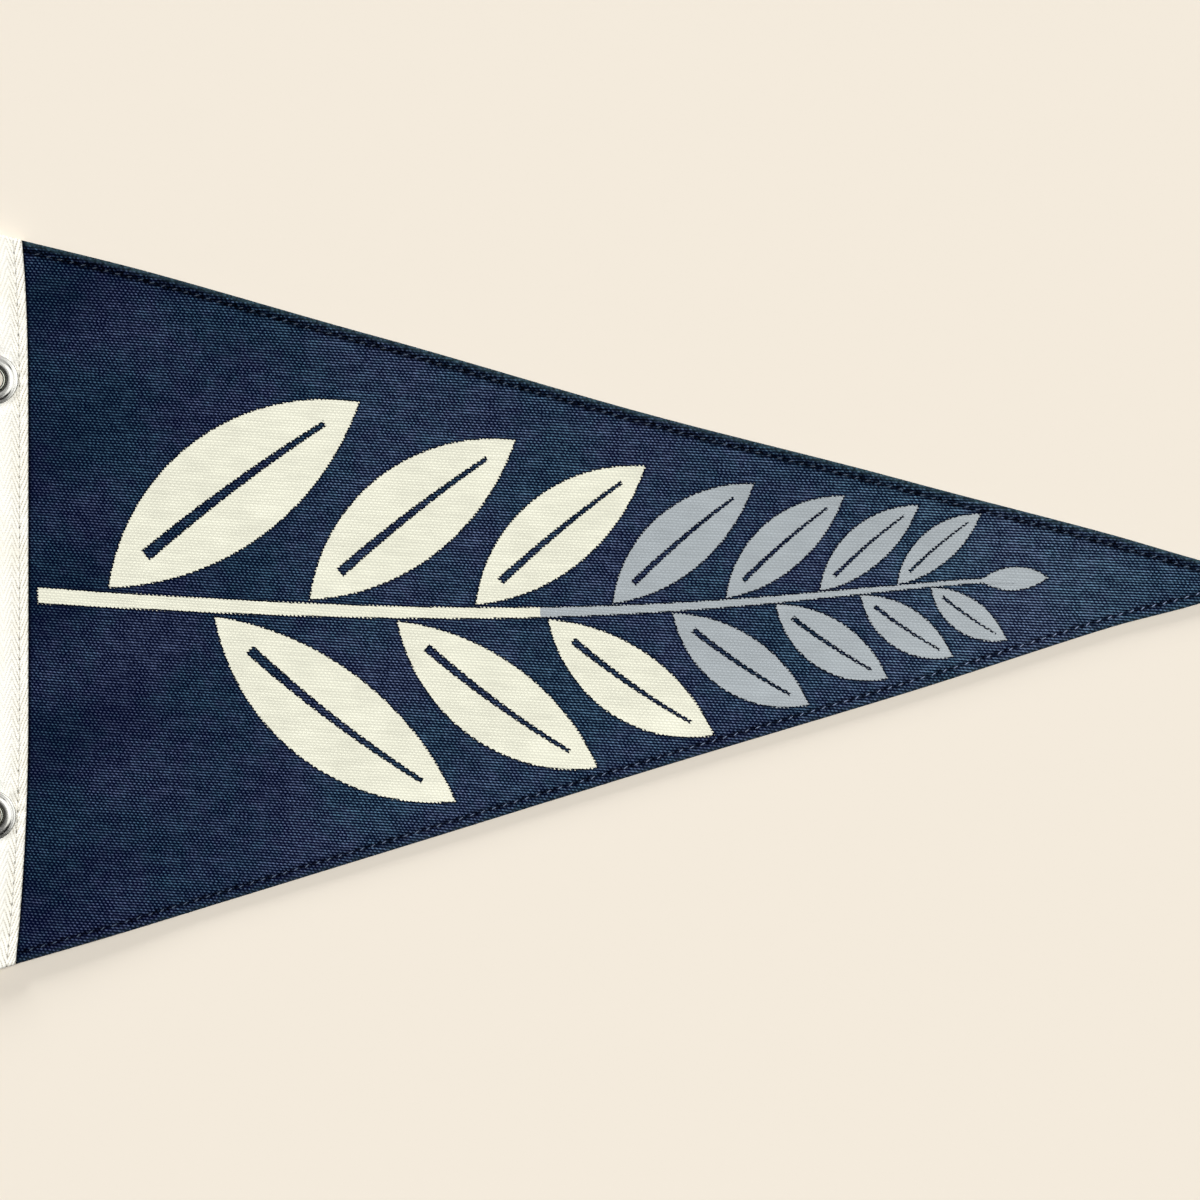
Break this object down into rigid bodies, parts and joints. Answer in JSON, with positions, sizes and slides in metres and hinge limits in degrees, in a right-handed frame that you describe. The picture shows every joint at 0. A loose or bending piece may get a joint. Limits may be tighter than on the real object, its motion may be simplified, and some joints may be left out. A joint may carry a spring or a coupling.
{
  "type": "canvas pennant",
  "caption": "Flat triangular canvas pennant with hemmed edges, a twill tape heading and metal eyelets along its short side.",
  "frame": {"origin": "centre of the bounding box, on the surface the pennant lies on", "axes": "+X from the heading to the tip, +Y towards the upper long edge, +Z out of the printed face"},
  "size_m": [0.3906, 0.2296, 0.005],
  "materials": {
    "canvas": "navy cotton duck, plain weave, with a matt screen print in cream and grey",
    "tape": "cream cotton herringbone twill tape",
    "eyelet_metal": "bright nickel plate over brass"
  },
  "bodies": {
    "root": {"pennant_panel": "canvas", "heading_tape": "tape", "eyelet_upper": "eyelet_metal", "eyelet_lower": "eyelet_metal", "washer_upper": "eyelet_metal", "washer_lower": "eyelet_metal"}
  },
  "joints": []
}
